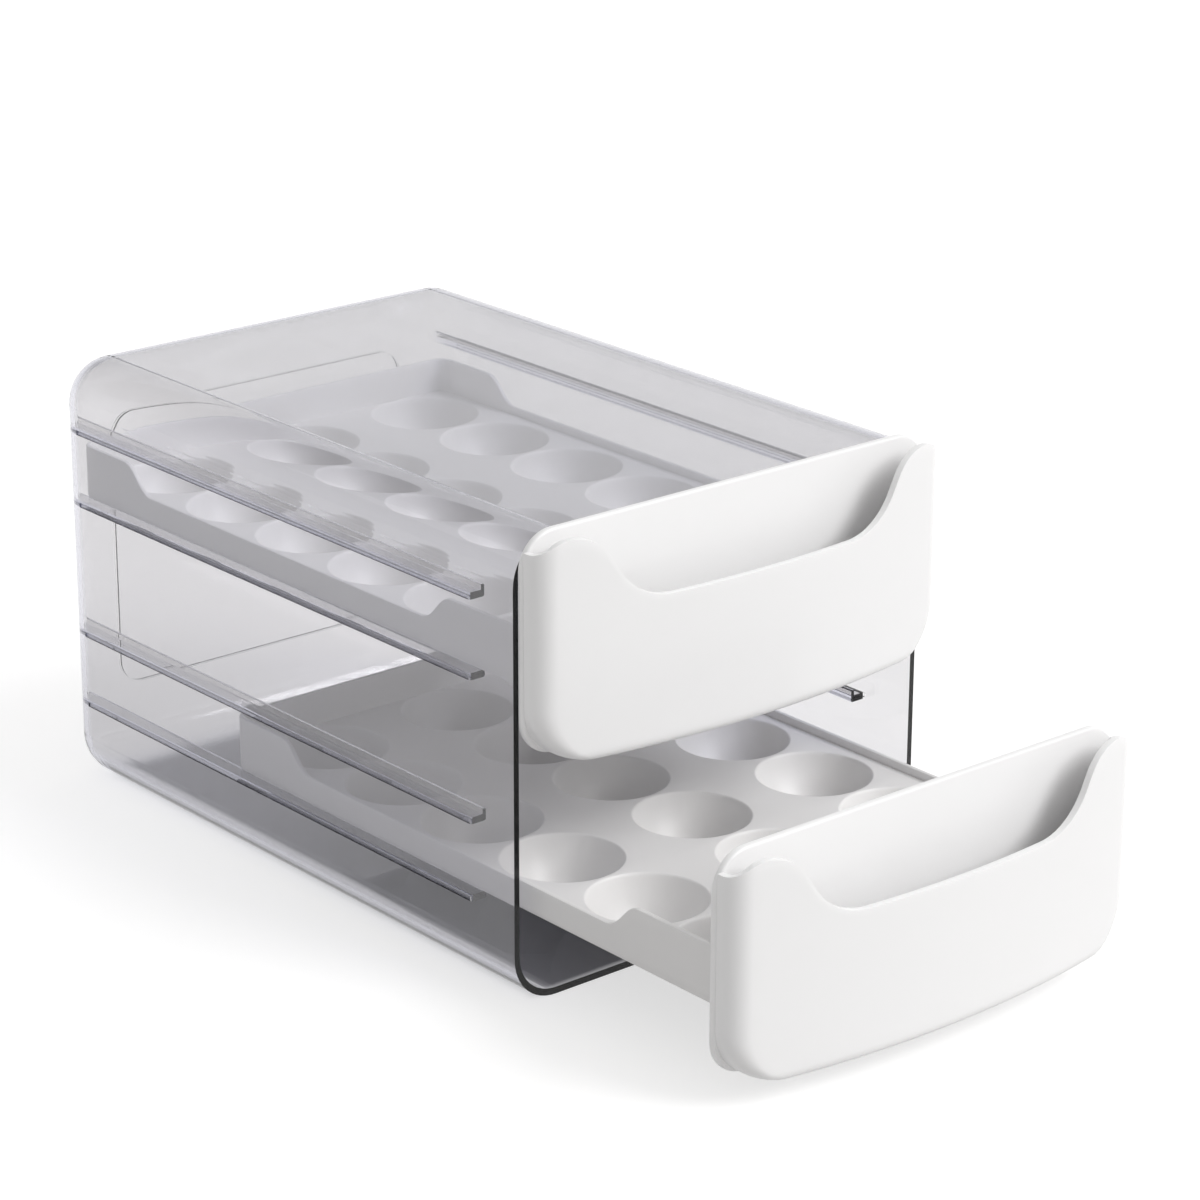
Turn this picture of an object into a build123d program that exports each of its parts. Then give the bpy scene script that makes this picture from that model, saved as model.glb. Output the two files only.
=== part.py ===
from build123d import *
from math import atan, cos, degrees, pi, radians, sin, sqrt, tan
import os

os.makedirs("parts", exist_ok=True)

# A clear two-drawer box for the kitchen. Each drawer is a tray of round cups that slides on rails
# moulded inside the case, behind a white front plate with a finger pocket. Millimetres, +Z up,
# the drawers open towards -Y, and the origin is the middle of the case's flat base.

# Case
case_width = 188.0
case_height = 170.0
case_depth = 278.0
case_wall = 2.2
case_floor = 2.6
case_edge_radius = 18.0  # the four long edges, outside
case_back_radius = 15.0  # the edges round the closed back, outside
back_panel_width = 138.0  # the shallow panel pressed into the back wall
back_panel_height = 111.0
back_panel_centre = 86.5  # above the base
back_panel_radius = 10.0
back_panel_step = 0.8

# Rails inside the side walls, one pair per drawer and side
rail_reach = 6.0  # how far a rail stands out of the side wall
rail_thickness = 2.6
rail_corner = 0.7
rail_setback = 24.0  # from the case's open front to the rails' front ends
rail_top_lower = 33.9  # the face that the lower tray slides on, above the base
rail_gap = 26.3  # from that face to the underside of the guide rail above it
guide_lip_height = 2.0  # the lip along the guide rail's inner edge
guide_lip_width = 1.4
groove_depth = 0.6  # the groove outside each rail, which keeps the wall even
groove_height = 1.8

# Drawers
lower_pull = 97.0  # how far the lower drawer stands open at rest
front_clearance = 0.3  # between a closed front plate and the case's rim

# Trays
tray_foot_overlap = 1.8  # how much of the side wall's foot stands on the rail
tray_rear_gap = 5.3  # from a closed tray to the case's back panel
tray_wall = 2.0
tray_low_wall = 10.6  # side wall height along the cups, from the foot
tray_tall_wall = 21.0  # side wall height at the back and beside the front plate
tray_tall_back = 34.0  # length of the tall stretch at the back
tray_tall_front = 44.0
tray_ramp = 10.0  # length of the slope between tall and low
tray_ramp_radius = 4.0
tray_corner_radius = 7.0
deck_below_low_wall = 3.0
deck_thickness = 1.8
cup_mouth_radius = 21.0
cup_waist_inset = 2.2  # how much narrower than its mouth a cup is at its waist, all round
cup_waist_depth = 8.0
cup_bottom_inset = 10.0
cup_depth = 19.5
cup_wall = 1.5
cup_foot_inset = 7.0  # from the mouth to the outside of the cup's foot
cup_sides = 20  # flat sides instead of a cone, which keeps so many cups light
cup_web = 2.0  # the least space between two mouths
cup_side_margin = 5.1  # between a side wall and the nearest mouth
cup_end_margin = 0.5  # between an end wall and the nearest mouth

# Front plates
plate_inset = 1.5  # the plate is this much narrower than the case on each side
plate_thickness = 3.0
plate_corner_radius = 13.5
plate_over_roof = 1.3  # the upper plate stands up this much over the case
plate_under = 10.4  # from the base up to the lower plate
plate_gap = 2.3  # between the two plates
plate_edge_chamfer = 0.6

# Finger pocket in front of each plate
pocket_spread = 1.1  # run on behind the plate, the upright corners would reach this far past its sides
pocket_drop = 1.6  # the pocket reaches this much below the plate
pocket_depth = 19.5  # in front of the plate, in the middle
pocket_bow_radius = 390.0
pocket_side_radius = 18.0  # the upright corners, which start at the plate
pocket_lower_radius = 20.0  # the lower corners in front view
pocket_wall = 2.4
pocket_lower_round = 3.5  # the rounding where front and underside meet
pocket_turn_steps = (0, 12, 24, 36, 50, 65, 80, 90)  # degrees of the lower corners' turn
rim_hump_height = 0.8  # below the plate's top
rim_hump_inset = 16.5  # from the plate's side edge
rim_hump_radius = 16.0
rim_dip_depth = 26.5  # below the plate's top
rim_dip_radius = 15.0
rim_slope = 50.0  # degrees
rim_side_fall = 25.0  # degrees, from the hump down to the side

# Snap tongues: the tray's and the pocket's pass through slots in the plate
tongue_width = 12.0
tongue_thickness = 2.0
tongue_clearance = 0.15
tongue_recess = 0.2  # from the tongue's end to the plate's far face
tray_tongue_place = 55.0  # from the middle
tray_tongue_height = 4.0  # above the tray's foot
pocket_tongue_inset = 32.5  # from the plate's side edge
pocket_tongue_height = 3.4  # above the plate's lower edge
side_tongue_inset = 3.5  # from the plate's side edge
side_tongue_height = 45.0  # above the plate's lower edge
lug_margin = 0.4  # the lug inside the pocket stands out this much round its tongue
lug_depth = 3.0

front_y = -case_depth / 2
back_y = case_depth / 2
inner_half_width = case_width / 2 - case_wall
rail_edge = inner_half_width - rail_reach
tray_half_width = rail_edge + tray_foot_overlap
tray_inner_half = tray_half_width - tray_wall
tray_length = case_depth + front_clearance - case_wall - back_panel_step - tray_rear_gap
plate_width = case_width - 2 * plate_inset
plate_height = (case_height + plate_over_roof - plate_under - plate_gap) / 2
drawer_pitch = plate_height + plate_gap
plate_below_tray = rail_top_lower - plate_under
pocket_half_width = plate_width / 2 + pocket_spread
pocket_low_tongue = plate_width / 2 - pocket_tongue_inset
pocket_side_tongue = plate_width / 2 - side_tongue_inset


def upright(y):
    """The plane facing the front at depth y, with local x to the right and local y up."""
    return Plane.XZ.offset(-y)


def rail_levels():
    """Heights of the faces that the lower and the upper tray slide on."""
    return [rail_top_lower, rail_top_lower + drawer_pitch]


def make_case():
    """The clear shell: open front, closed back, two pairs of rails on each side wall."""
    rail_length = case_depth - rail_setback
    with BuildPart() as cavity:
        with BuildSketch(upright(front_y)) as mouth:
            with Locations((0, (case_height + case_floor - case_wall) / 2)):
                RectangleRounded(
                    case_width - 2 * case_wall,
                    case_height - case_floor - case_wall,
                    case_edge_radius - case_wall,
                )
        extrude(amount=-(case_depth - case_wall))
        fillet(cavity.faces().sort_by(Axis.Y)[-1].edges(), case_back_radius - case_wall)
        with BuildSketch(upright(back_y - case_wall)) as raised:
            with Locations((0, back_panel_centre)):
                RectangleRounded(back_panel_width, back_panel_height, back_panel_radius)
        extrude(amount=back_panel_step, mode=Mode.SUBTRACT)
        with BuildSketch(upright(front_y + rail_setback)) as rails:
            for level in rail_levels():
                guide = level + rail_gap
                for side in (-1, 1):
                    middle = side * (rail_edge + case_width / 2) / 2
                    reach = case_width / 2 - rail_edge
                    with Locations((middle, level - rail_thickness / 2), (middle, guide + rail_thickness / 2)):
                        Rectangle(reach, rail_thickness)
                    lip_middle = side * (rail_edge + guide_lip_width / 2)
                    lip_height = rail_thickness + guide_lip_height
                    with Locations((lip_middle, guide + lip_height / 2)):
                        Rectangle(guide_lip_width, lip_height)
            inner_corners = [v for v in rails.vertices() if abs(abs(v.X) - rail_edge) < 0.01]
            fillet(inner_corners, rail_corner)
        extrude(amount=-rail_length, mode=Mode.SUBTRACT)

    with BuildPart() as case:
        with BuildSketch(upright(front_y)) as outline:
            with Locations((0, case_height / 2)):
                RectangleRounded(case_width, case_height, case_edge_radius)
        extrude(amount=-case_depth)
        fillet(case.faces().sort_by(Axis.Y)[-1].edges(), case_back_radius)
        add(cavity.part, mode=Mode.SUBTRACT)
        with BuildSketch(upright(back_y)) as pressed:
            with Locations((0, back_panel_centre)):
                RectangleRounded(back_panel_width, back_panel_height, back_panel_radius)
        extrude(amount=back_panel_step, mode=Mode.SUBTRACT)
        groove_length = case_depth - rail_setback - case_back_radius
        with BuildSketch(upright(front_y + rail_setback)) as grooves:
            for level in rail_levels():
                for height in (level - rail_thickness / 2, level + rail_gap + rail_thickness / 2):
                    for side in (-1, 1):
                        with Locations((side * case_width / 2, height)):
                            Rectangle(2 * groove_depth, groove_height)
        extrude(amount=-groove_length, mode=Mode.SUBTRACT)
    case.part.label = "case"
    export_step(case.part, "parts/case.step")


def cup_form(top, rings):
    """A round form with flat sides that narrows downwards through rings of (radius, depth) from top."""
    with BuildPart() as form:
        for (radius, depth), (next_radius, next_depth) in zip(rings, rings[1:]):
            level = Plane.XY.offset(top - depth)
            with BuildSketch(level):
                RegularPolygon(radius, cup_sides)
            extrude(amount=depth - next_depth)
            upright_faces = [f for f in form.faces() if abs(f.normal_at().Z) < 0.001]
            lean = atan((radius - next_radius) * cos(pi / cup_sides) / (next_depth - depth))
            draft(upright_faces, level, -degrees(lean))
    return form.part


def cup_places(back):
    """Middles of a tray's cups, from the depth of its plate's back face."""
    run = 2 * (tray_inner_half - cup_side_margin - cup_mouth_radius)
    columns = int((run + 2 * cup_mouth_radius + cup_web) // (2 * cup_mouth_radius + cup_web))
    end = tray_wall + cup_end_margin + cup_mouth_radius
    length = tray_length - 2 * end
    rows = int((length + 2 * cup_mouth_radius + cup_web) // (2 * cup_mouth_radius + cup_web))
    return [(-run / 2 + run * column / (columns - 1), back + end + length * row / (rows - 1))
            for column in range(columns) for row in range(rows)]


def make_tray(name, foot, back):
    """A wall all round with a low stretch at each side, and between the walls a deck of cups."""
    low = foot + tray_low_wall
    tall = foot + tray_tall_wall
    deck = low - deck_below_low_wall
    rear = back + tray_length
    bowl = cup_form(deck, [
        (cup_mouth_radius + cup_wall, deck_thickness / 2),
        (cup_mouth_radius - cup_foot_inset, cup_depth + cup_wall),
    ])
    hollow = cup_form(deck, [
        (cup_mouth_radius, 0),
        (cup_mouth_radius - cup_waist_inset, cup_waist_depth),
        (cup_mouth_radius - cup_bottom_inset, cup_depth),
    ])
    with BuildPart() as tray:
        with BuildSketch(Plane.YZ.offset(-tray_half_width)) as side:
            with BuildLine():
                Polyline(
                    (back, foot),
                    (rear, foot),
                    (rear, tall),
                    (rear - tray_tall_back, tall),
                    (rear - tray_tall_back - tray_ramp, low),
                    (back + tray_tall_front + tray_ramp, low),
                    (back + tray_tall_front, tall),
                    (back, tall),
                    close=True,
                )
            make_face()
            ramps = [v for v in side.vertices() if v.Y > foot + 1 and back + 1 < v.X < rear - 1]
            fillet(ramps, tray_ramp_radius)
        extrude(amount=2 * tray_half_width)
        fillet(tray.edges().filter_by(Axis.Z).group_by(Axis.Y)[-1], tray_corner_radius)
        under_deck = deck - deck_thickness
        for bottom, height in ((deck, tall - deck), (foot, under_deck - foot)):
            with BuildSketch(Plane.XY.offset(bottom)) as inside:
                with Locations((0, (back + rear) / 2)):
                    Rectangle(2 * tray_inner_half, tray_length - 2 * tray_wall)
                fillet(inside.vertices().group_by(Axis.Y)[-1], tray_corner_radius - tray_wall)
            extrude(amount=height, mode=Mode.SUBTRACT)
        with Locations(*cup_places(back)):
            add(bowl)
            add(hollow, mode=Mode.SUBTRACT)
        for side_place in (-tray_tongue_place, tray_tongue_place):
            with BuildSketch(upright(back)):
                with Locations((side_place, foot + tray_tongue_height)):
                    Rectangle(tongue_width, tongue_thickness)
            extrude(amount=plate_thickness - tongue_recess)
    tray.part.label = name
    export_step(tray.part, f"parts/{name}.step")


def pocket_tongues(plate_foot):
    """Place, width and height of the pocket's tongues: two over its floor and one at each side."""
    low = plate_foot + pocket_tongue_height
    high = plate_foot + side_tongue_height
    return [
        (-pocket_low_tongue, low, tongue_width, tongue_thickness),
        (pocket_low_tongue, low, tongue_width, tongue_thickness),
        (-pocket_side_tongue, high, tongue_thickness, tongue_width),
        (pocket_side_tongue, high, tongue_thickness, tongue_width),
    ]


def make_plate(name, foot, back):
    """A drawer's front plate, with a slot for each tongue."""
    plate_foot = foot - plate_below_tray
    tray_tongues = [(side_place, foot + tray_tongue_height, tongue_width, tongue_thickness)
                    for side_place in (-tray_tongue_place, tray_tongue_place)]
    with BuildPart() as plate:
        with BuildSketch(upright(back)):
            with Locations((0, plate_foot + plate_height / 2)):
                RectangleRounded(plate_width, plate_height, plate_corner_radius)
        extrude(amount=plate_thickness)
        chamfer(plate.faces().sort_by(Axis.Y)[0].edges(), plate_edge_chamfer)
        with BuildSketch(upright(back)):
            for x, height, width, thickness in tray_tongues + pocket_tongues(plate_foot):
                with Locations((x, height)):
                    Rectangle(width + 2 * tongue_clearance, thickness + 2 * tongue_clearance)
        extrude(amount=plate_thickness, mode=Mode.SUBTRACT)
    plate.part.label = name
    export_step(plate.part, f"parts/{name}.step")


def pocket_plan(height, face, side_in, front_in):
    """The pocket's plan outline at a height, moved in from its widest by side_in and front_in."""
    half_width = pocket_half_width - side_in
    depth = pocket_depth - front_in
    with BuildSketch(Plane.XY.offset(height)) as plan:
        with Locations((0, face)):
            Rectangle(2 * half_width, 2 * depth)
        with Locations((0, face - depth + pocket_bow_radius)):
            Circle(pocket_bow_radius, mode=Mode.INTERSECT)
        fillet(plan.vertices().group_by(Axis.Y)[0], pocket_side_radius - front_in)
        with Locations((0, face + depth)):
            Rectangle(2 * half_width, 2 * depth, mode=Mode.SUBTRACT)
    return plan.sketch


def pocket_outside(foot, face, height):
    """The pocket's outer form: strips between plan outlines round its lower corners, upright above."""
    outlines = []
    for angle in pocket_turn_steps:
        rise = pocket_lower_radius * (1 - cos(radians(angle)))
        side_in = pocket_lower_radius * (1 - sin(radians(angle)))
        below_flat = max(pocket_lower_round - rise, 0)
        front_in = pocket_lower_round - sqrt(pocket_lower_round**2 - below_flat**2)
        outlines.append(pocket_plan(foot + rise, face, side_in, front_in))
    with BuildPart() as outside:
        loft(outlines, ruled=True)
        add(pocket_plan(foot + pocket_lower_radius, face, 0, 0))
        extrude(amount=height - pocket_lower_radius)
    return outside.part


def pocket_inside(foot, face, height):
    """The hollow in the pocket, past its open top and back."""
    floor = foot + pocket_wall
    half_width = pocket_half_width - pocket_wall
    with BuildPart() as inside:
        with BuildSketch(Plane.XY.offset(floor)) as plan:
            with Locations((0, face)):
                Rectangle(2 * half_width, 2 * (pocket_depth - pocket_wall))
            with Locations((0, face - pocket_depth + pocket_bow_radius)):
                Circle(pocket_bow_radius - pocket_wall, mode=Mode.INTERSECT)
            fillet(plan.vertices().group_by(Axis.Y)[0], pocket_side_radius - pocket_wall)
        extrude(amount=height)
        with BuildSketch(upright(face)) as front_view:
            with Locations((0, floor + height)):
                Rectangle(2 * half_width, 2 * height)
            fillet(front_view.vertices(), pocket_lower_radius - pocket_wall)
        extrude(amount=pocket_depth, both=True, mode=Mode.INTERSECT)
    return inside.part


def rim_cut(plate_top, face):
    """What is cut off the pocket's top: its rim dips between two humps and falls off to the sides."""
    hump_x = plate_width / 2 - rim_hump_inset
    hump_z = plate_top - rim_hump_height - rim_hump_radius
    dip = plate_top - rim_dip_depth
    rise = radians(rim_slope)
    fall = radians(rim_side_fall)
    slope_top = (hump_x - rim_hump_radius * sin(rise), hump_z + rim_hump_radius * cos(rise))
    slope_foot_z = dip + rim_dip_radius * (1 - cos(rise))
    slope_foot = (slope_top[0] - (slope_top[1] - slope_foot_z) / tan(rise), slope_foot_z)
    dip_end = (slope_foot[0] - rim_dip_radius * sin(rise), dip)
    hump_end = (hump_x + rim_hump_radius * sin(fall), hump_z + rim_hump_radius * cos(fall))
    side = pocket_half_width + pocket_wall
    side_end = (side, hump_end[1] - (side - hump_end[0]) * tan(fall))
    above = plate_top + pocket_wall
    with BuildPart() as cut:
        with BuildSketch(upright(face)):
            with BuildLine():
                Line((0, dip), dip_end)
                JernArc(dip_end, (1, 0), rim_dip_radius, rim_slope)
                Line(slope_foot, slope_top)
                JernArc(slope_top, (cos(rise), sin(rise)), rim_hump_radius, -rim_slope - rim_side_fall)
                Polyline(hump_end, side_end, (side, above), (0, above))
                mirror(about=Plane.YZ)
            make_face()
        extrude(amount=pocket_depth + pocket_wall)
    return cut.part


def make_pocket(name, foot, back):
    """A finger pocket: a bowed shell against the plate, open at the top."""
    face = back - plate_thickness
    plate_foot = foot - plate_below_tray
    plate_top = plate_foot + plate_height
    pocket_foot = plate_foot - pocket_drop
    pocket_height = plate_top - pocket_foot
    outside = pocket_outside(pocket_foot, face, pocket_height)
    inside = pocket_inside(pocket_foot, face, pocket_height)
    rim = rim_cut(plate_top, face)
    with BuildPart() as pocket:
        add(outside)
        add(inside, mode=Mode.SUBTRACT)
        add(rim, mode=Mode.SUBTRACT)
        for x, height, width, thickness in pocket_tongues(plate_foot):
            lug_foot = height - thickness / 2 - lug_margin
            if width > thickness:
                lug_foot = pocket_foot + pocket_wall / 2
            lug_top = height + thickness / 2 + lug_margin
            with BuildSketch(upright(face)):
                with Locations((x, (lug_foot + lug_top) / 2)):
                    Rectangle(width + 2 * lug_margin, lug_top - lug_foot)
            extrude(amount=lug_depth)
            with BuildSketch(upright(face)):
                with Locations((x, height)):
                    Rectangle(width, thickness)
            extrude(amount=tongue_recess - plate_thickness)
    pocket.part.label = name
    export_step(pocket.part, f"parts/{name}.step")


make_case()
for storey, level, pull in (("lower", 0, lower_pull), ("upper", 1, 0)):
    tray_foot = rail_top_lower + level * drawer_pitch
    plate_back = front_y - front_clearance - pull
    make_tray(f"{storey}_tray", tray_foot, plate_back)
    make_plate(f"{storey}_front_plate", tray_foot, plate_back)
    make_pocket(f"{storey}_pocket", tray_foot, plate_back)
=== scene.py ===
import bpy
import math
from mathutils import Matrix, Vector


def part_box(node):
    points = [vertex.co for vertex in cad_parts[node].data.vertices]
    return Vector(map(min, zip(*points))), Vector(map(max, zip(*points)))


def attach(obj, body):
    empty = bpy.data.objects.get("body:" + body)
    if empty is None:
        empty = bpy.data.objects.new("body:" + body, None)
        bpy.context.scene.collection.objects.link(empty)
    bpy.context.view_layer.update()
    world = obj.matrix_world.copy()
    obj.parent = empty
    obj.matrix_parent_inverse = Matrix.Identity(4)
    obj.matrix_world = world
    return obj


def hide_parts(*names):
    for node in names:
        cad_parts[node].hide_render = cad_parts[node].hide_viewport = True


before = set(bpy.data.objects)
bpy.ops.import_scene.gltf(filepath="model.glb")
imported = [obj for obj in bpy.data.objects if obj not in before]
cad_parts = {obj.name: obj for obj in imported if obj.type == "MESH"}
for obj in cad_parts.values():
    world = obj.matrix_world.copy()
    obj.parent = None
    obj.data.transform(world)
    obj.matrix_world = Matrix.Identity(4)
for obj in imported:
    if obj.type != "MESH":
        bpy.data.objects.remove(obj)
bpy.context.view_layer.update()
bpy.ops.object.select_all(action='DESELECT')

# studio

cameraSettings = {
    "place": (-0.8428, -1.0682, 0.5792),
    "heading": 40.243,      # degrees that it looks to the right of the case's long axis
    "downTilt": 19.84,
    "roll": 0.18,
    "lens": 115.5,
    "sensor": 36,
    "nearest": 0.05,
    "farthest": 100,
}

studio = {
    "fillStrength": 0.64,       # light of the room on the object
    "fillLean": 0.14,           # what the left gives less of it, and the right more
    "backdropStrength": 1.0,
    "ceilingStrength": 0.35,    # overhead the room is greyer, which draws the clear plastic's edges
    "ceilingStart": 0.10,       # height on the unit sphere where that begins
    "ceilingFull": 0.60,
    "keyPlace": (0.62, -1.10, 1.02),
    "keyAim": (0, 0, 0),
    "keySpread": 32,            # degrees that the soft key light spans
    "keyPower": 1.86,
    "rimPlace": (-1.1, 0.9, 1.2),
    "rimAim": (0, -0.05, 0.08),
    "rimSize": 0.9,
    "rimPower": 1,
    "floorSize": 60,
    "floorDrop": 0.0002,    # keeps the paper clear of the case's clear base
    "floorColour": (0.52, 0.515, 0.51, 1),
    "floorRoughness": 0.9,
    "floorShine": 0.1,
    "floorGlow": 0.63,      # lifts the floor to plain white in the picture
    "glowUnder": 0.04,      # what is left of that under the case: painted shade, the floor darker under the case
    "glowInset": 0.007,     # from the case's sides and back to where the glow is whole
    "glowEdge": 0.014,      # over this it fades
    "glowRimEdge": 0.005,   # in front it fades from the case's rim
}


def makeCamera():
    heading = math.radians(cameraSettings["heading"])
    tilt = math.radians(cameraSettings["downTilt"])
    level = math.cos(tilt)
    forward = Vector((math.sin(heading) * level, math.cos(heading) * level, -math.sin(tilt)))
    lens = bpy.data.cameras.new("camera")
    lens.sensor_width = cameraSettings["sensor"]
    lens.lens = cameraSettings["lens"]
    lens.clip_start = cameraSettings["nearest"]
    lens.clip_end = cameraSettings["farthest"]
    camera = bpy.data.objects.new("camera", lens)
    bpy.context.scene.collection.objects.link(camera)
    camera.location = cameraSettings["place"]
    roll = Matrix.Rotation(math.radians(cameraSettings["roll"]), 4, 'Z')
    camera.rotation_euler = (forward.to_track_quat('-Z', 'Y').to_matrix().to_4x4() @ roll).to_euler()
    bpy.context.scene.camera = camera


def largerOf(nodes, links, first, second):
    larger = nodes.new("ShaderNodeMath")
    larger.operation = 'MAXIMUM'
    links.new(first, larger.inputs[0])
    links.new(second, larger.inputs[1])
    return larger.outputs[0]


def seenDirectly(nodes, links):
    # 1 for what the camera sees, also in a shiny surface or through the clear plastic
    path = nodes.new("ShaderNodeLightPath")
    glossyToo = largerOf(nodes, links, path.outputs["Is Camera Ray"], path.outputs["Is Glossy Ray"])
    return largerOf(nodes, links, glossyToo, path.outputs["Is Transmission Ray"])


def makeRoom():
    world = bpy.data.worlds.new("whiteRoom")
    bpy.context.scene.world = world
    world.use_nodes = True
    nodes, links = world.node_tree.nodes, world.node_tree.links
    background = nodes["Background"]
    background.inputs["Color"].default_value = (1, 1, 1, 1)
    place = nodes.new("ShaderNodeTexCoord")
    axes = nodes.new("ShaderNodeSeparateXYZ")
    links.new(place.outputs["Generated"], axes.inputs[0])
    sky = nodes.new("ShaderNodeMapRange")
    sky.inputs["From Min"].default_value = studio["ceilingStart"]
    sky.inputs["From Max"].default_value = studio["ceilingFull"]
    sky.inputs["To Min"].default_value = studio["backdropStrength"]
    sky.inputs["To Max"].default_value = studio["ceilingStrength"]
    links.new(axes.outputs[2], sky.inputs["Value"])
    fill = nodes.new("ShaderNodeMapRange")
    fill.inputs["From Min"].default_value = -1      # the far left, with 1 as the far right
    fill.inputs["To Min"].default_value = studio["fillStrength"] - studio["fillLean"]
    fill.inputs["To Max"].default_value = studio["fillStrength"] + studio["fillLean"]
    links.new(axes.outputs[0], fill.inputs["Value"])
    strength = nodes.new("ShaderNodeMapRange")
    links.new(seenDirectly(nodes, links), strength.inputs["Value"])
    links.new(fill.outputs["Result"], strength.inputs["To Min"])
    links.new(sky.outputs["Result"], strength.inputs["To Max"])
    links.new(strength.outputs["Result"], background.inputs["Strength"])


def hang(lamp, place, aim):
    holder = bpy.data.objects.new(lamp.name, lamp)
    bpy.context.scene.collection.objects.link(holder)
    holder.location = place
    holder.rotation_euler = (Vector(aim) - Vector(place)).to_track_quat('-Z', 'Y').to_euler()


def makeLamps():
    key = bpy.data.lights.new("keyLight", 'SUN')
    key.angle = math.radians(studio["keySpread"])
    key.energy = studio["keyPower"]
    hang(key, studio["keyPlace"], studio["keyAim"])
    rim = bpy.data.lights.new("rimLamp", 'AREA')
    rim.size = studio["rimSize"]
    rim.energy = studio["rimPower"]
    hang(rim, studio["rimPlace"], studio["rimAim"])


def paintedShadeUnderCase(nodes, links):
    # 1 on the floor under the case, where the paper hardly glows, and 0 elsewhere: painted shade,
    # the floor's glow cut under the case so that it reads darker there, where the real shadow shows
    # as well
    low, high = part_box("case")
    inset, edge, rimEdge = studio["glowInset"], studio["glowEdge"], studio["glowRimEdge"]
    borders = ((0, low.x + inset, low.x + inset + edge), (0, high.x - inset, high.x - inset - edge),
               (1, low.y, low.y + rimEdge), (1, high.y - inset, high.y - inset - edge))
    place = nodes.new("ShaderNodeTexCoord")
    axes = nodes.new("ShaderNodeSeparateXYZ")
    links.new(place.outputs["Object"], axes.inputs[0])
    inside = None
    for axis, outer, inner in borders:
        border = nodes.new("ShaderNodeMapRange")
        border.interpolation_type = 'SMOOTHSTEP'
        border.inputs["From Min"].default_value = outer
        border.inputs["From Max"].default_value = inner
        links.new(axes.outputs[axis], border.inputs["Value"])
        if inside is not None:
            links.new(inside, border.inputs["To Max"])
        inside = border.outputs["Result"]
    return inside


def makeFloor():
    bpy.ops.mesh.primitive_plane_add(size=studio["floorSize"], location=(0, 0, -studio["floorDrop"]))
    floor = bpy.context.object
    floor.name = "floor"
    paint = bpy.data.materials.new("floorPaper")
    paint.use_nodes = True
    nodes, links = paint.node_tree.nodes, paint.node_tree.links
    paper = nodes["Principled BSDF"]
    paper.inputs["Base Color"].default_value = studio["floorColour"]
    paper.inputs["Roughness"].default_value = studio["floorRoughness"]
    paper.inputs["Specular IOR Level"].default_value = studio["floorShine"]
    paper.inputs["Emission Color"].default_value = (1, 1, 1, 1)
    # the floor's glow is cut under the case: painted shade there, on top of the real shadow
    shaded = nodes.new("ShaderNodeMapRange")
    shaded.inputs["To Min"].default_value = studio["floorGlow"]
    shaded.inputs["To Max"].default_value = studio["glowUnder"]
    links.new(paintedShadeUnderCase(nodes, links), shaded.inputs["Value"])
    glow = nodes.new("ShaderNodeMath")
    glow.operation = 'MULTIPLY'
    links.new(seenDirectly(nodes, links), glow.inputs[0])
    links.new(shaded.outputs["Result"], glow.inputs[1])
    links.new(glow.outputs[0], paper.inputs["Emission Strength"])
    floor.data.materials.append(paint)


bpy.context.scene.view_settings.view_transform = 'Standard'
makeCamera()
makeRoom()
makeLamps()
makeFloor()
print("studio is up")

# materials

clearPlastic = {
    "tint": (0.85, 0.84, 0.82, 1),
    "ior": 1.49,
    "roughness": 0.012,
    "depthColour": (0.60, 0.62, 0.78, 1),       # what a long way through the wall leaves
    "depthDensity": 95,
    "shadowTint": (0.98, 0.98, 0.98, 1),
}

frontPlastic = {
    "colour": (0.895, 0.89, 0.89, 1),
    "shade": (0.87, 0.865, 0.865, 1),
    "roughness": 0.3,
    "roughnessSpread": 0.06,
    "grainScale": 900,
    "grainStrength": 0.05,
}

trayPlastic = {
    "colour": (0.82, 0.81, 0.805, 1),
    "shade": (0.785, 0.775, 0.77, 1),
    "roughness": 0.42,
    "roughnessSpread": 0.08,
    "grainScale": 1400,
    "grainStrength": 0.12,
}

grain = {
    "cloudScale": 18,
    "cloudDetail": 3,
    "fineDetail": 2,
    "depth": 0.0002,
}


def mouldedGrain():
    # fine unevenness of moulded plastic: a cloudy mask and a bump height
    group = bpy.data.node_groups.new("mouldedGrain", "ShaderNodeTree")
    group.interface.new_socket("Scale", in_out='INPUT', socket_type='NodeSocketFloat')
    group.interface.new_socket("Clouds", in_out='OUTPUT', socket_type='NodeSocketFloat')
    group.interface.new_socket("Height", in_out='OUTPUT', socket_type='NodeSocketFloat')
    nodes, links = group.nodes, group.links
    given = nodes.new("NodeGroupInput")
    result = nodes.new("NodeGroupOutput")
    place = nodes.new("ShaderNodeTexCoord")
    clouds = nodes.new("ShaderNodeTexNoise")
    clouds.inputs["Scale"].default_value = grain["cloudScale"]
    clouds.inputs["Detail"].default_value = grain["cloudDetail"]
    fine = nodes.new("ShaderNodeTexNoise")
    fine.inputs["Detail"].default_value = grain["fineDetail"]
    links.new(place.outputs["Object"], clouds.inputs["Vector"])
    links.new(place.outputs["Object"], fine.inputs["Vector"])
    links.new(given.outputs["Scale"], fine.inputs["Scale"])
    links.new(clouds.outputs["Fac"], result.inputs["Clouds"])
    links.new(fine.outputs["Fac"], result.inputs["Height"])
    return group


grainGroup = mouldedGrain()


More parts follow.
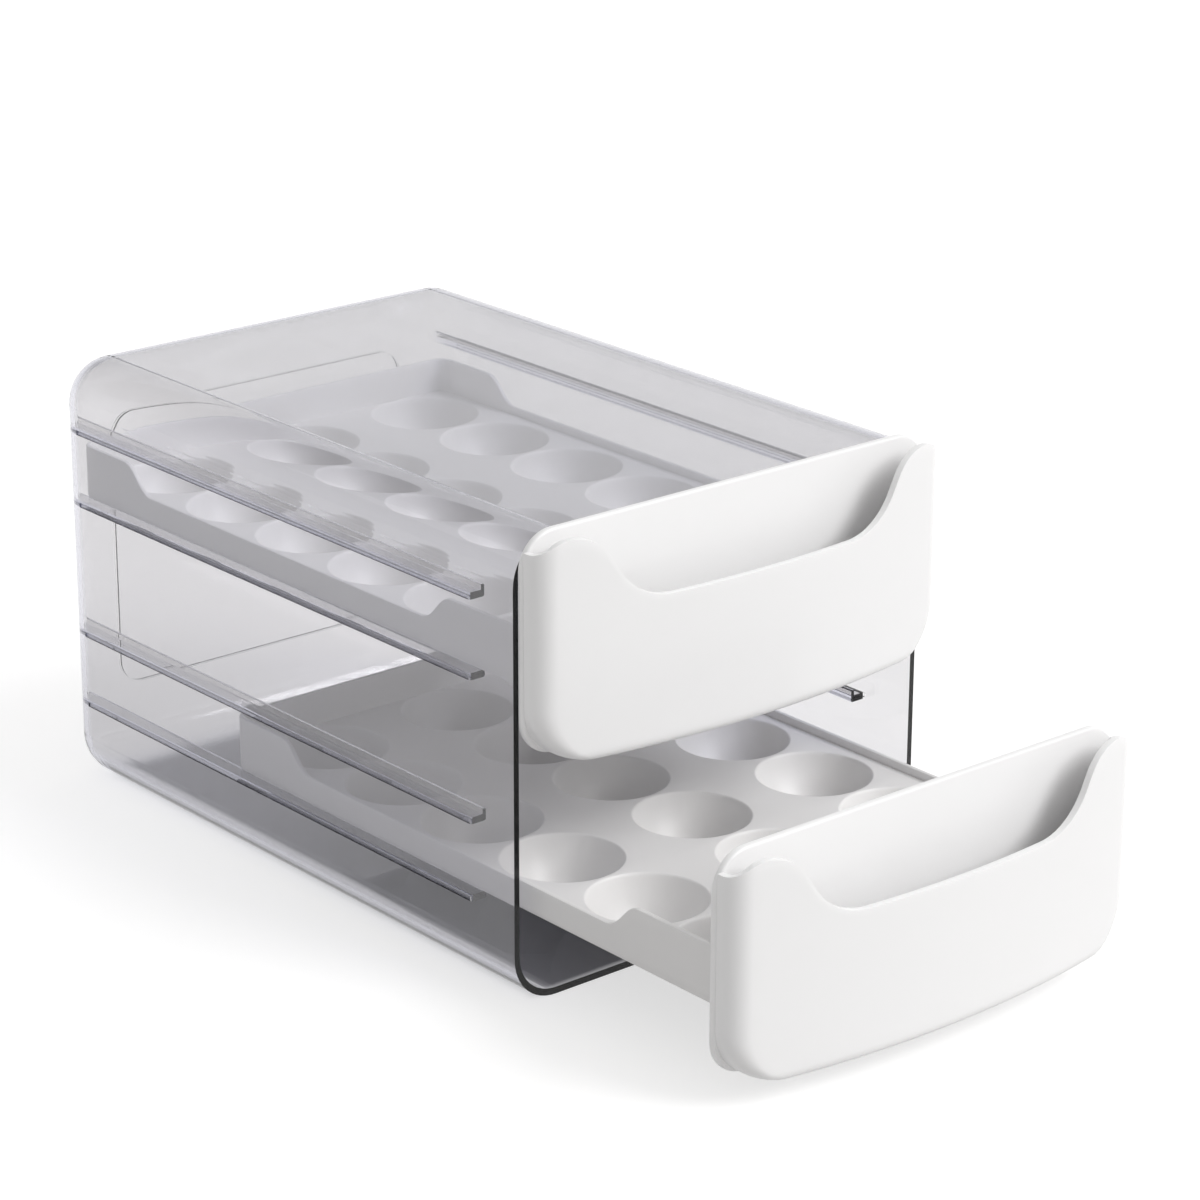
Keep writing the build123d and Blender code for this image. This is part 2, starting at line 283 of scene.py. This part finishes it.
def makeOpaquePlastic(name, settings):
    plastic = bpy.data.materials.new(name)
    plastic.use_nodes = True
    nodes, links = plastic.node_tree.nodes, plastic.node_tree.links
    shader = nodes["Principled BSDF"]
    unevenness = nodes.new("ShaderNodeGroup")
    unevenness.node_tree = grainGroup
    unevenness.inputs["Scale"].default_value = settings["grainScale"]
    colour = nodes.new("ShaderNodeMix")
    colour.data_type = 'RGBA'
    colour.inputs["A"].default_value = settings["shade"]
    colour.inputs["B"].default_value = settings["colour"]
    links.new(unevenness.outputs["Clouds"], colour.inputs["Factor"])
    links.new(colour.outputs["Result"], shader.inputs["Base Color"])
    gloss = nodes.new("ShaderNodeMapRange")
    gloss.inputs["To Min"].default_value = settings["roughness"] - settings["roughnessSpread"]
    gloss.inputs["To Max"].default_value = settings["roughness"] + settings["roughnessSpread"]
    links.new(unevenness.outputs["Clouds"], gloss.inputs["Value"])
    links.new(gloss.outputs["Result"], shader.inputs["Roughness"])
    bump = nodes.new("ShaderNodeBump")
    bump.inputs["Strength"].default_value = settings["grainStrength"]
    bump.inputs["Distance"].default_value = grain["depth"]
    links.new(unevenness.outputs["Height"], bump.inputs["Height"])
    links.new(bump.outputs["Normal"], shader.inputs["Normal"])
    return plastic


def makeClearPlastic():
    # shadows and soft light pass straight through it, so that the pieces inside stay lit
    plastic = bpy.data.materials.new("clearPlastic")
    plastic.use_nodes = True
    nodes, links = plastic.node_tree.nodes, plastic.node_tree.links
    shader = nodes["Principled BSDF"]
    output = nodes["Material Output"]
    shader.inputs["Base Color"].default_value = clearPlastic["tint"]
    shader.inputs["Roughness"].default_value = clearPlastic["roughness"]
    shader.inputs["IOR"].default_value = clearPlastic["ior"]
    shader.inputs["Transmission Weight"].default_value = 1
    absorb = nodes.new("ShaderNodeVolumeAbsorption")
    absorb.inputs["Color"].default_value = clearPlastic["depthColour"]
    absorb.inputs["Density"].default_value = clearPlastic["depthDensity"]
    links.new(absorb.outputs[0], output.inputs["Volume"])
    letThrough = nodes.new("ShaderNodeBsdfTransparent")
    letThrough.inputs["Color"].default_value = clearPlastic["shadowTint"]
    path = nodes.new("ShaderNodeLightPath")
    mix = nodes.new("ShaderNodeMixShader")
    straight = largerOf(nodes, links, path.outputs["Is Shadow Ray"], path.outputs["Is Diffuse Ray"])
    links.new(straight, mix.inputs["Fac"])
    links.new(shader.outputs[0], mix.inputs[1])
    links.new(letThrough.outputs[0], mix.inputs[2])
    links.new(mix.outputs[0], output.inputs["Surface"])
    return plastic


clearCase = makeClearPlastic()
whiteFront = makeOpaquePlastic("whiteFront", frontPlastic)
paleTray = makeOpaquePlastic("paleTray", trayPlastic)
print("materials are mixed")

# shaping, for all pieces

finish = {
    "smoothAngle": 38,      # sharper edges than this stay sharp
    "together": 0.00001,    # points nearer than this count as one, or as level
}


def deselectAll():
    if bpy.context.object and bpy.context.object.mode != 'OBJECT':
        bpy.ops.object.mode_set(mode='OBJECT')
    bpy.ops.object.select_all(action='DESELECT')


def pick(piece):
    deselectAll()
    piece.select_set(True)
    bpy.context.view_layer.objects.active = piece


def finishWith(piece, kind, **settings):
    pick(piece)
    modifier = piece.modifiers.new(kind.lower(), kind)
    for setting, value in settings.items():
        setattr(modifier, setting, value)
    bpy.ops.object.modifier_apply(modifier=modifier.name)


def selectPoints(piece, wanted):
    # leaves edit mode on, with the points selected for which wanted(place) is true
    pick(piece)
    bpy.ops.object.mode_set(mode='EDIT')
    bpy.ops.mesh.select_mode(type='VERT')
    bpy.ops.mesh.select_all(action='DESELECT')
    bpy.ops.object.mode_set(mode='OBJECT')
    for point in piece.data.vertices:
        point.select = wanted(point.co)
    bpy.ops.object.mode_set(mode='EDIT')


def hand(piece, body, node, material):
    # shades a finished piece, gives it its material and puts it in its node's place
    pick(piece)
    bpy.ops.object.transform_apply(location=True, rotation=True, scale=True)
    smooth = math.radians(finish["smoothAngle"])
    bpy.ops.object.shade_smooth_by_angle(angle=smooth, keep_sharp_edges=True)
    piece.data.materials.clear()
    piece.data.materials.append(material)
    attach(piece, body)
    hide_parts(node)
    deselectAll()
    print(piece.name, "has", len(piece.data.polygons), "faces")


def makeSheet(name, columns, rows, place):
    # a flat grid whose points are moved to place(column, row), counted from its left and lower edges
    deselectAll()
    bpy.ops.mesh.primitive_grid_add(x_subdivisions=columns, y_subdivisions=rows, size=2,
                                    location=(0, 0, 0))
    sheet = bpy.context.object
    sheet.name = name
    for point in sheet.data.vertices:
        column = round((point.co.x + 1) / 2 * columns)
        row = round((point.co.y + 1) / 2 * rows)
        point.co = place(column, row)
    return sheet


# front plates: a rounded board behind each finger pocket

frontPlate = {
    "cornerRadius": 0.0135,
    "cornerSteps": 16,
    "edgeRound": 0.0009,
    "edgeSteps": 3,
    "edgeAngle": 60,        # edges sharper than this are rounded
}


def makeFrontPlate(drawer):
    low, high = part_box(drawer + "_front_plate")
    deselectAll()
    bpy.ops.mesh.primitive_cube_add(size=1, location=(low + high) / 2, scale=high - low)
    plate = bpy.context.object
    plate.name = drawer + "FrontPlate"
    pick(plate)
    bpy.ops.object.transform_apply(location=True, rotation=True, scale=True)
    bpy.ops.object.mode_set(mode='EDIT')
    bpy.ops.mesh.select_mode(type='EDGE')
    bpy.ops.mesh.select_all(action='DESELECT')
    bpy.ops.object.mode_set(mode='OBJECT')
    for edge in plate.data.edges:
        start, end = (plate.data.vertices[i].co for i in edge.vertices)
        edge.select = abs(start.y - end.y) > (high.y - low.y) / 2
    bpy.ops.object.mode_set(mode='EDIT')
    bpy.ops.mesh.bevel(offset=frontPlate["cornerRadius"], segments=frontPlate["cornerSteps"])
    bpy.ops.object.mode_set(mode='OBJECT')
    finishWith(plate, 'BEVEL', width=frontPlate["edgeRound"], segments=frontPlate["edgeSteps"],
               limit_method='ANGLE', angle_limit=math.radians(frontPlate["edgeAngle"]))
    finishWith(plate, 'WEIGHTED_NORMAL', keep_sharp=True)
    hand(plate, drawer + "_drawer", drawer + "_front_plate", whiteFront)


# finger pockets: a bowed sheet round the front and sides of each plate, open at the top

fingerPocket = {
    "inset": 0.0003,            # narrower than the plate on each side
    "bowRadius": 0.410,
    "cornerRadius": 0.0085,
    "lowerRadius": 0.020,       # from the sides down to the underside
    "lowerRound": 0.0035,       # where front and underside meet
    "wall": 0.0024,
    "rimRound": 0.0009,
    "rimSteps": 3,
    "rimAngle": 62,
    "humpDrop": 0.0008,         # below the plate's top
    "humpInset": 0.0115,        # from the plate's side
    "humpRadius": 0.0175,
    "humpSideRadius": 0.012,    # on its outer side the hump is tighter
    "dipDepth": 0.0265,
    "dipRadius": 0.026,
    "slope": 59,                # degrees, between dip and hump
    "sideFall": 34,             # degrees, from the hump to the side
    "bowColumns": 112,
    "cornerColumns": 12,
    "sideColumns": 4,
    "turnRows": 12,
    "wallRows": 16,
}


def rimHeight(x, halfWidth, top):
    # the rim dips between two humps and falls off towards the sides
    x = abs(x)
    humpX = halfWidth - fingerPocket["humpInset"]
    humpRadius, dipRadius = fingerPocket["humpRadius"], fingerPocket["dipRadius"]
    sideRadius = fingerPocket["humpSideRadius"]
    crest = top - fingerPocket["humpDrop"]
    humpZ = crest - humpRadius
    dip = top - fingerPocket["dipDepth"]
    slope, fall = math.radians(fingerPocket["slope"]), math.radians(fingerPocket["sideFall"])
    slopeTopX = humpX - humpRadius * math.sin(slope)
    slopeTopZ = humpZ + humpRadius * math.cos(slope)
    slopeFootZ = dip + dipRadius * (1 - math.cos(slope))
    slopeFootX = slopeTopX - (slopeTopZ - slopeFootZ) / math.tan(slope)
    dipEndX = slopeFootX - dipRadius * math.sin(slope)
    humpEndX = humpX + sideRadius * math.sin(fall)
    if x < dipEndX:
        return dip
    if x < slopeFootX:
        return dip + dipRadius - math.sqrt(dipRadius ** 2 - (x - dipEndX) ** 2)
    if x < slopeTopX:
        return slopeFootZ + (x - slopeFootX) * math.tan(slope)
    if x < humpX:
        return humpZ + math.sqrt(humpRadius ** 2 - (x - humpX) ** 2)
    if x < humpEndX:
        return crest - sideRadius + math.sqrt(sideRadius ** 2 - (x - humpX) ** 2)
    return crest - sideRadius * (1 - math.cos(fall)) - (x - humpEndX) * math.tan(fall)


def pocketPlan(share, halfWidth, depth, sideIn, frontIn):
    # a point of the plan outline as (x, distance in front of the plate): share runs from -1 at the
    # left end to 1 at the right end, along a flat side, a round corner and the bowed front
    bow = fingerPocket["bowRadius"]
    corner = fingerPocket["cornerRadius"] - frontIn
    middleX = halfWidth - fingerPocket["inset"] - sideIn - corner
    middleDepth = depth - frontIn - bow + math.sqrt((bow - corner) ** 2 - middleX ** 2)
    lean = math.asin(middleX / (bow - corner))
    endColumns = fingerPocket["cornerColumns"] + fingerPocket["sideColumns"]
    endShare = endColumns / (endColumns + fingerPocket["bowColumns"] / 2)
    if abs(share) <= 1 - endShare:
        angle = lean * share / (1 - endShare)
        return bow * math.sin(angle), depth - frontIn - bow + bow * math.cos(angle)
    fromPlate = (1 - abs(share)) / endShare
    flatShare = fingerPocket["sideColumns"] / endColumns
    if fromPlate < flatShare:
        return math.copysign(middleX + corner, share), middleDepth * fromPlate / flatShare
    angle = (math.pi / 2 - lean) * (fromPlate - flatShare) / (1 - flatShare)
    side = math.copysign(middleX + corner * math.cos(angle), share)
    return side, middleDepth + corner * math.sin(angle)


def makePocket(drawer):
    plateLow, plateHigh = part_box(drawer + "_front_plate")
    low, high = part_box(drawer + "_pocket")
    halfWidth = plateHigh.x
    face = plateLow.y
    depth = face - low.y
    endColumns = fingerPocket["cornerColumns"] + fingerPocket["sideColumns"]
    columns = fingerPocket["bowColumns"] + 2 * endColumns
    turnRows, wallRows = fingerPocket["turnRows"], fingerPocket["wallRows"]
    lowerRadius, lowerRound = fingerPocket["lowerRadius"], fingerPocket["lowerRound"]

    def place(column, row):
        share = 2 * column / columns - 1
        turn = math.pi / 2 * min(row / turnRows, 1)
        rise = lowerRadius * (1 - math.cos(turn))
        sideIn = lowerRadius * (1 - math.sin(turn))
        belowFlat = max(lowerRound - rise, 0)
        frontIn = lowerRound - math.sqrt(lowerRound ** 2 - belowFlat ** 2)
        x, ahead = pocketPlan(share, halfWidth, depth, sideIn, frontIn)
        z = low.z + rise
        if row > turnRows:
            z += (rimHeight(x, halfWidth, plateHigh.z) - z) * (row - turnRows) / wallRows
        return x, face - ahead, z

    pocket = makeSheet(drawer + "Pocket", columns, turnRows + wallRows, place)
    selectPoints(pocket, lambda point: point.z < low.z + finish["together"])
    bpy.ops.mesh.edge_face_add()    # the underside
    bpy.ops.object.mode_set(mode='OBJECT')
    finishWith(pocket, 'SOLIDIFY', thickness=fingerPocket["wall"], offset=-1, use_even_offset=True)
    finishWith(pocket, 'BEVEL', width=fingerPocket["rimRound"], segments=fingerPocket["rimSteps"],
               limit_method='ANGLE', angle_limit=math.radians(fingerPocket["rimAngle"]))
    hand(pocket, drawer + "_drawer", drawer + "_pocket", whiteFront)


# trays: a wall all round, low beside the cups, and a deck of round cups

tray = {
    "wall": 0.002,
    "tallWall": 0.021,
    "lowWall": 0.0106,
    "footLift": 0.0001,         # keeps the wall's foot just clear of the rail that it slides on
    "tallBack": 0.034,          # length of the tall stretch at the back
    "tallFront": 0.044,
    "ramp": 0.010,
    "rampRound": 0.36,          # share of the ramp that its rounded ends reach over
    "cornerRadius": 0.007,
    "frontClear": 0.0034,       # no column nearer to the front corner, where the inner wall turns
    "cornerColumns": 8,
    "sideColumns": 360,
    "endColumns": 8,
    "wallRows": 5,
    "topRound": 0.0007,
    "topSteps": 2,
    "topAngle": 60,
    "deckBelowWall": 0.003,
    "deckThickness": 0.0012,
    "tongue": 0.0028,           # what the node's snap tongues reach into the plate, left off here
    "cupColumns": 3,
    "cupRows": 6,
    "cupPitchX": 0.0595,
    "cupPitchY": 0.0446,
    "firstCup": 0.0235,         # from the plate's back to the first row
    "cupSteps": 48,
    "cupApart": 0.0004,         # flat deck between the lips of neighbouring cups
    # radius and depth down the inside of a cup, from its rounded lip
    "cupProfile": [(0.0217, 0.00005), (0.0214, 0.0003), (0.0211, 0.0009), (0.0208, 0.0022),
                   (0.0201, 0.0048), (0.0190, 0.0078), (0.0175, 0.0108), (0.0156, 0.0136),
                   (0.0133, 0.0162), (0.0106, 0.0181), (0.0075, 0.0191), (0.0040, 0.0195)],
}


def wallTop(y, back, rear, foot):
    # tall at both ends, low along the cups, with a ramp between whose ends are rounded
    low, tall = foot + tray["lowWall"], foot + tray["tallWall"]
    fromFront = (y - back - tray["tallFront"]) / tray["ramp"]
    fromBack = (rear - tray["tallBack"] - y) / tray["ramp"]
    share = min(fromFront, fromBack)
    bend = tray["rampRound"]
    if share < bend:
        share = max(share + bend, 0) ** 2 / (4 * bend)
    elif share > 1 - bend:
        share = 1 - max(1 + bend - share, 0) ** 2 / (4 * bend)
    return tall - (tall - low) * share


def trayRoute(halfWidth, back, rear):
    # plan points of the wall's outside, once round from the front left corner
    radius, turns = tray["cornerRadius"], tray["cornerColumns"]
    sideStart, sideEnd = back + tray["frontClear"], rear - radius
    ends, sides = tray["endColumns"], tray["sideColumns"]
    route = [(-halfWidth + 2 * halfWidth * i / ends, back) for i in range(ends + 1)]
    route += [(halfWidth, sideStart + (sideEnd - sideStart) * i / sides) for i in range(sides)]
    for middleX, start in ((halfWidth - radius, 0), (radius - halfWidth, math.pi / 2)):
        for i in range(turns + 1):
            angle = start + math.pi / 2 * i / turns
            route.append((middleX + radius * math.cos(angle), sideEnd + radius * math.sin(angle)))
    route += [(-halfWidth, sideEnd + (sideStart - sideEnd) * i / sides) for i in range(1, sides + 1)]
    return route


def makeCupSheet(name, middle):
    # one cup with its share of the deck: rings extruded down and inwards from its lip, and one
    # outwards that is drawn out to a rectangle
    deselectAll()
    lip = (tray["cupPitchY"] - tray["cupApart"]) / 2
    bpy.ops.mesh.primitive_circle_add(vertices=tray["cupSteps"], radius=lip, location=middle)
    cup = bpy.context.object
    cup.name = name
    bpy.ops.object.transform_apply(location=True, rotation=True, scale=True)
    bpy.ops.object.mode_set(mode='EDIT')
    bpy.ops.mesh.select_all(action='SELECT')
    radius, depth = lip, 0
    for nextRadius, nextDepth in tray["cupProfile"]:
        down = (0, 0, depth - nextDepth)
        bpy.ops.mesh.extrude_region_move(TRANSFORM_OT_translate={"value": down})
        share = nextRadius / radius
        bpy.ops.transform.resize(value=(share, share, 1), center_override=middle)
        radius, depth = nextRadius, nextDepth
    bpy.ops.mesh.edge_face_add()
    bpy.ops.mesh.poke()
    bpy.ops.object.mode_set(mode='OBJECT')
    selectPoints(cup, lambda point: point.z > middle.z - finish["together"])
    bpy.ops.mesh.extrude_region_move(TRANSFORM_OT_translate={"value": (0, 0, 0)})
    bpy.ops.object.mode_set(mode='OBJECT')
    for point in cup.data.vertices:
        if point.select:
            across, along = point.co.x - middle.x, point.co.y - middle.y
            turn = math.atan2(along, across)
            quarter = round(turn / (math.pi / 2))
            slide = (turn - quarter * math.pi / 2) / (math.pi / 4)
            edge = ((1, slide), (-slide, 1), (-1, -slide), (slide, -1))[quarter % 4]
            point.co.x = middle.x + edge[0] * tray["cupPitchX"] / 2
            point.co.y = middle.y + edge[1] * tray["cupPitchY"] / 2
    return cup


def makeTray(drawer):
    low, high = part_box(drawer + "_tray")
    halfWidth, rear = high.x, high.y
    back = low.y + tray["tongue"]
    foot = high.z - tray["tallWall"]
    deck = foot + tray["lowWall"] - tray["deckBelowWall"]
    route = trayRoute(halfWidth, back, rear)

    def place(column, row):
        x, y = route[column % len(route)]
        start = foot + tray["footLift"]
        return x, y, start + (wallTop(y, back, rear, foot) - start) * row / tray["wallRows"]

    walls = makeSheet(drawer + "Tray", len(route), tray["wallRows"], place)
    selectPoints(walls, lambda point: True)
    bpy.ops.mesh.remove_doubles(threshold=finish["together"])     # closes it behind the last column
    bpy.ops.object.mode_set(mode='OBJECT')
    finishWith(walls, 'SOLIDIFY', thickness=tray["wall"], offset=-1, use_even_offset=True)
    finishWith(walls, 'BEVEL', width=tray["topRound"], segments=tray["topSteps"],
               limit_method='ANGLE', angle_limit=math.radians(tray["topAngle"]))

    firstX = -tray["cupPitchX"] * (tray["cupColumns"] - 1) / 2
    cups = makeCupSheet(drawer + "Cups", Vector((firstX, back + tray["firstCup"], deck)))
    for count, step in ((tray["cupRows"], (0, tray["cupPitchY"], 0)),
                        (tray["cupColumns"], (tray["cupPitchX"], 0, 0))):
        finishWith(cups, 'ARRAY', count=count, use_relative_offset=False, use_constant_offset=True,
                   constant_offset_displace=step, use_merge_vertices=True,
                   merge_threshold=finish["together"])

    # the deck ends in the middle of the wall, also round the rear corners
    inside = halfWidth - tray["wall"] / 2
    radius = tray["cornerRadius"]
    reach = radius - tray["wall"] / 2
    for point in cups.data.vertices:
        point.co.x = max(-inside, min(inside, point.co.x))
        fromMiddle = Vector((abs(point.co.x) - halfWidth + radius, point.co.y - rear + radius))
        if min(fromMiddle) > 0 and fromMiddle.length > reach:
            fromMiddle *= reach / fromMiddle.length
            point.co.x = math.copysign(halfWidth - radius + fromMiddle.x, point.co.x)
            point.co.y = rear - radius + fromMiddle.y
    selectPoints(cups, lambda point: True)
    bpy.ops.mesh.flip_normals()     # rings extruded downwards come out facing down
    bpy.ops.object.mode_set(mode='OBJECT')
    finishWith(cups, 'SOLIDIFY', thickness=tray["deckThickness"], offset=-1)
    pick(walls)
    cups.select_set(True)
    bpy.ops.object.join()
    hand(walls, drawer + "_drawer", drawer + "_tray", paleTray)


# case: the CAD shell itself, in clear plastic

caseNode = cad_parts["case"]
for slot in caseNode.material_slots:
    slot.material = clearCase

# the two drawers

for drawerName in ("lower", "upper"):
    makeFrontPlate(drawerName)
    makePocket(drawerName)
    makeTray(drawerName)
print("pieces are made")
